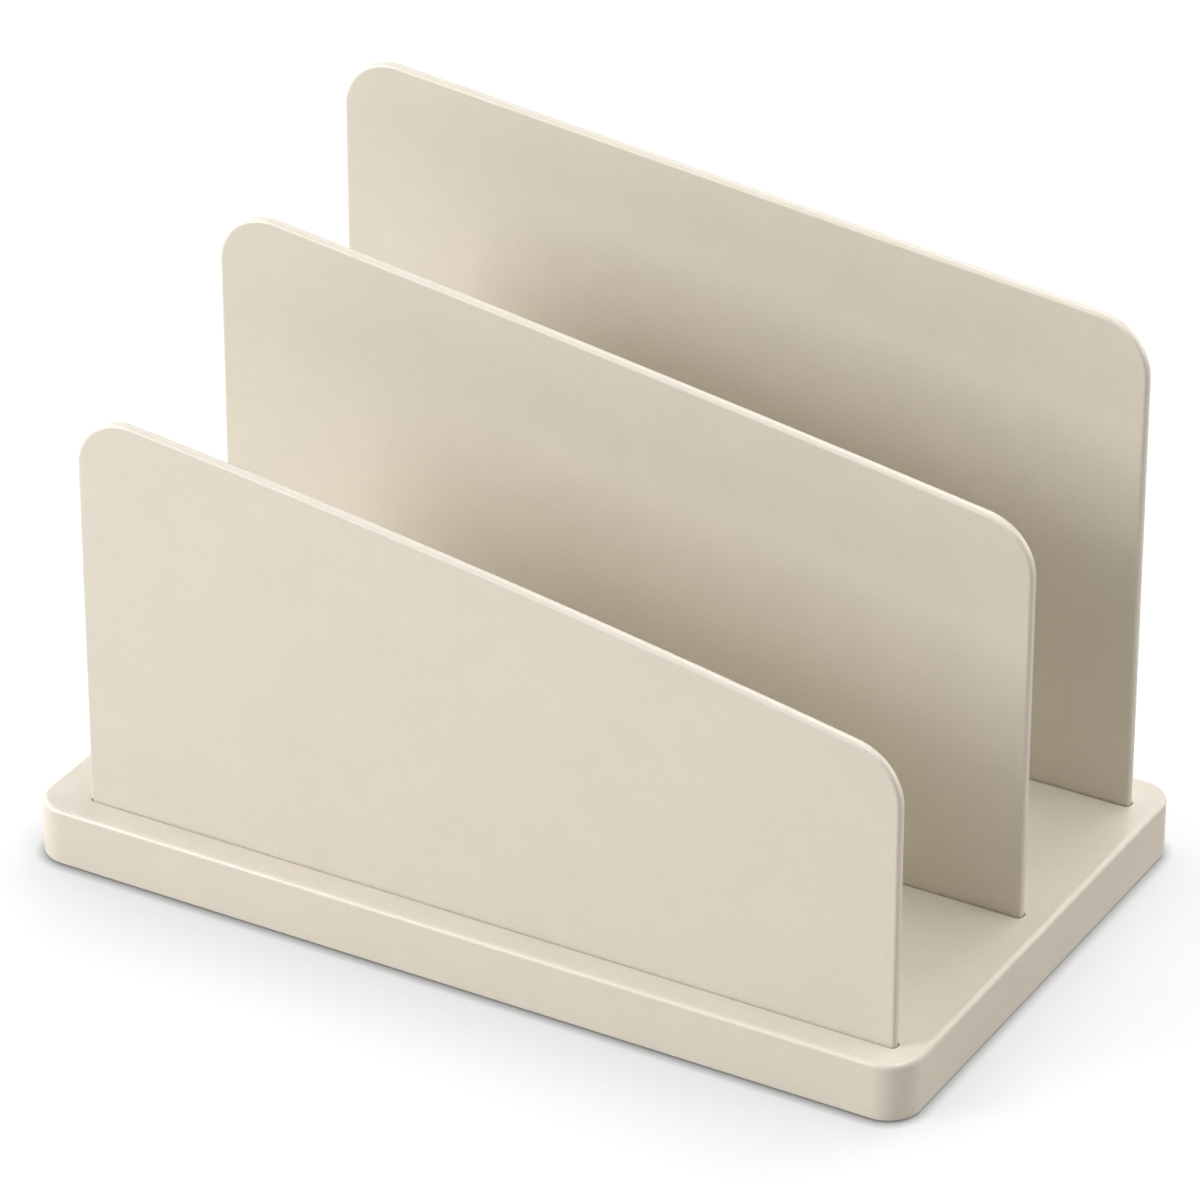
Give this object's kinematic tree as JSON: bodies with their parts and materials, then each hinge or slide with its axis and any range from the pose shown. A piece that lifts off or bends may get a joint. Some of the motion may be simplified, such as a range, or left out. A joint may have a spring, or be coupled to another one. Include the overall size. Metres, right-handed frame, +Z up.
{
  "type": "file stand",
  "caption": "Desk stand for files and papers: a flat moulded base with upright dividers that rise towards the rear and slope down to the right.",
  "frame": {"origin": "on the desk, under the middle of the base", "axes": "+X along the dividers to the right end of the base, +Y from the low divider at the front to the tall one at the rear, +Z up"},
  "size_m": [0.26, 0.156, 0.1792],
  "materials": {
    "ivory_plastic": "satin moulded",
    "zinc_steel": "zinc plated",
    "grey_rubber": "matt"
  },
  "bodies": {
    "root": {"base_shell": "ivory_plastic", "bottom_cover": "ivory_plastic", "front_divider": "ivory_plastic", "middle_divider": "ivory_plastic", "rear_divider": "ivory_plastic", "front_divider_screw_left": "zinc_steel", "front_divider_screw_centre": "zinc_steel", "front_divider_screw_right": "zinc_steel", "middle_divider_screw_left": "zinc_steel", "middle_divider_screw_centre": "zinc_steel", "middle_divider_screw_right": "zinc_steel", "rear_divider_screw_left": "zinc_steel", "rear_divider_screw_centre": "zinc_steel", "rear_divider_screw_right": "zinc_steel", "cover_screw_front_left": "zinc_steel", "cover_screw_front_centre": "zinc_steel", "cover_screw_front_right": "zinc_steel", "cover_screw_rear_left": "zinc_steel", "cover_screw_rear_centre": "zinc_steel", "cover_screw_rear_right": "zinc_steel", "rubber_foot_front_left": "grey_rubber", "rubber_foot_front_right": "grey_rubber", "rubber_foot_rear_left": "grey_rubber", "rubber_foot_rear_right": "grey_rubber"}
  },
  "joints": []
}
